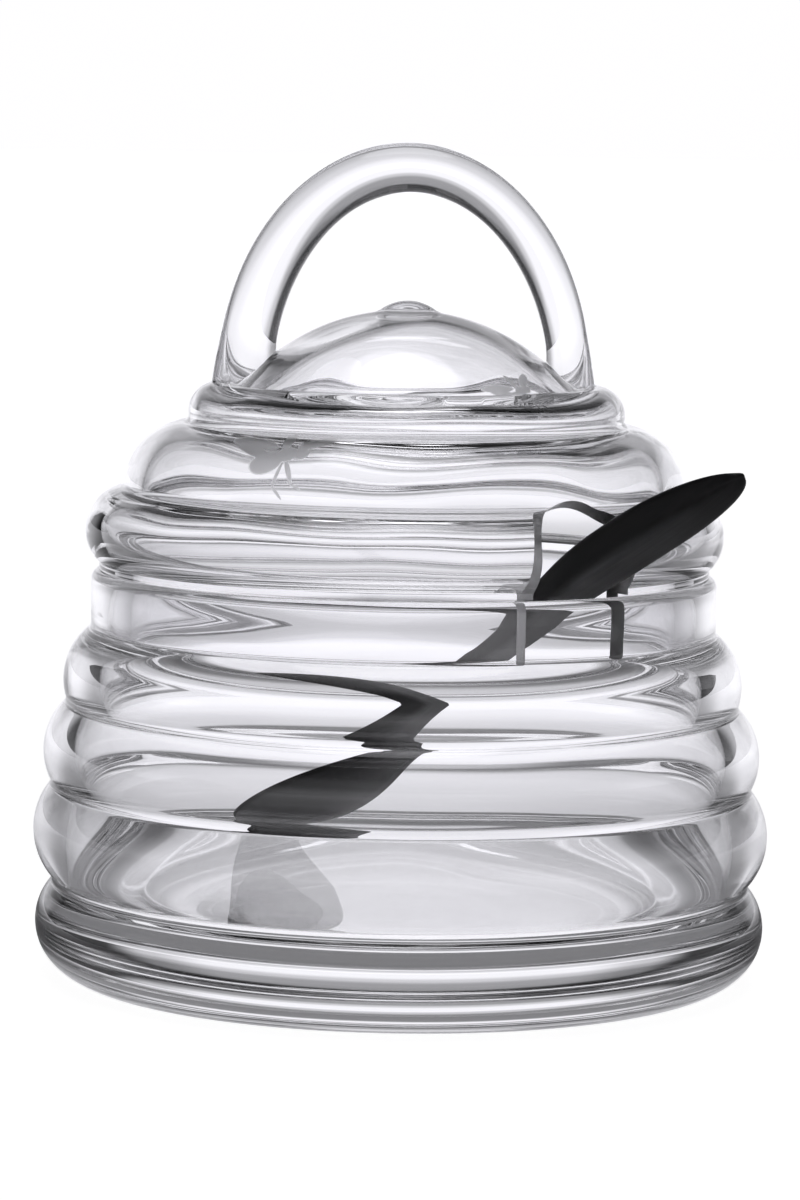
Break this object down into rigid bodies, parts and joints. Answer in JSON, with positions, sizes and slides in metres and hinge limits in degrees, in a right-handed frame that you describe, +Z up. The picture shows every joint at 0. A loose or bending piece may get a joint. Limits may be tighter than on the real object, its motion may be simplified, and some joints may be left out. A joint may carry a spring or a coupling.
{
  "type": "honey pot",
  "caption": "Clear blown-glass honey pot shaped like a beehive, with a lift-off ringed lid, an arched glass handle, a notch in the lid and a dark carved spoon.",
  "frame": {"origin": "middle of the flat foot, on the table plane and on the pot's axis", "axes": "+Z up along the pot's axis, +X along the handle's arch, -Y towards the front of the pot, with the notch at the front right"},
  "size_m": [0.1228, 0.1364, 0.1384],
  "materials": {
    "pot_glass": "clear",
    "lid_glass": "clear",
    "handle_glass": "clear",
    "dark_spoon": "satin"
  },
  "bodies": {
    "pot": {"pot": "pot_glass"},
    "spoon": {"spoon": "dark_spoon"},
    "lid": {"lid": "lid_glass", "lid_handle": "handle_glass"}
  },
  "joints": [
    {"name": "spoon_lift", "type": "slide", "parent": "pot", "child": "spoon", "axis": [0, 0, 1], "range_m": [0, 0.065]},
    {"name": "lid_lift", "type": "slide", "parent": "spoon", "child": "lid", "axis": [0, 0, 1], "range_m": [0, 0.06]}
  ]
}
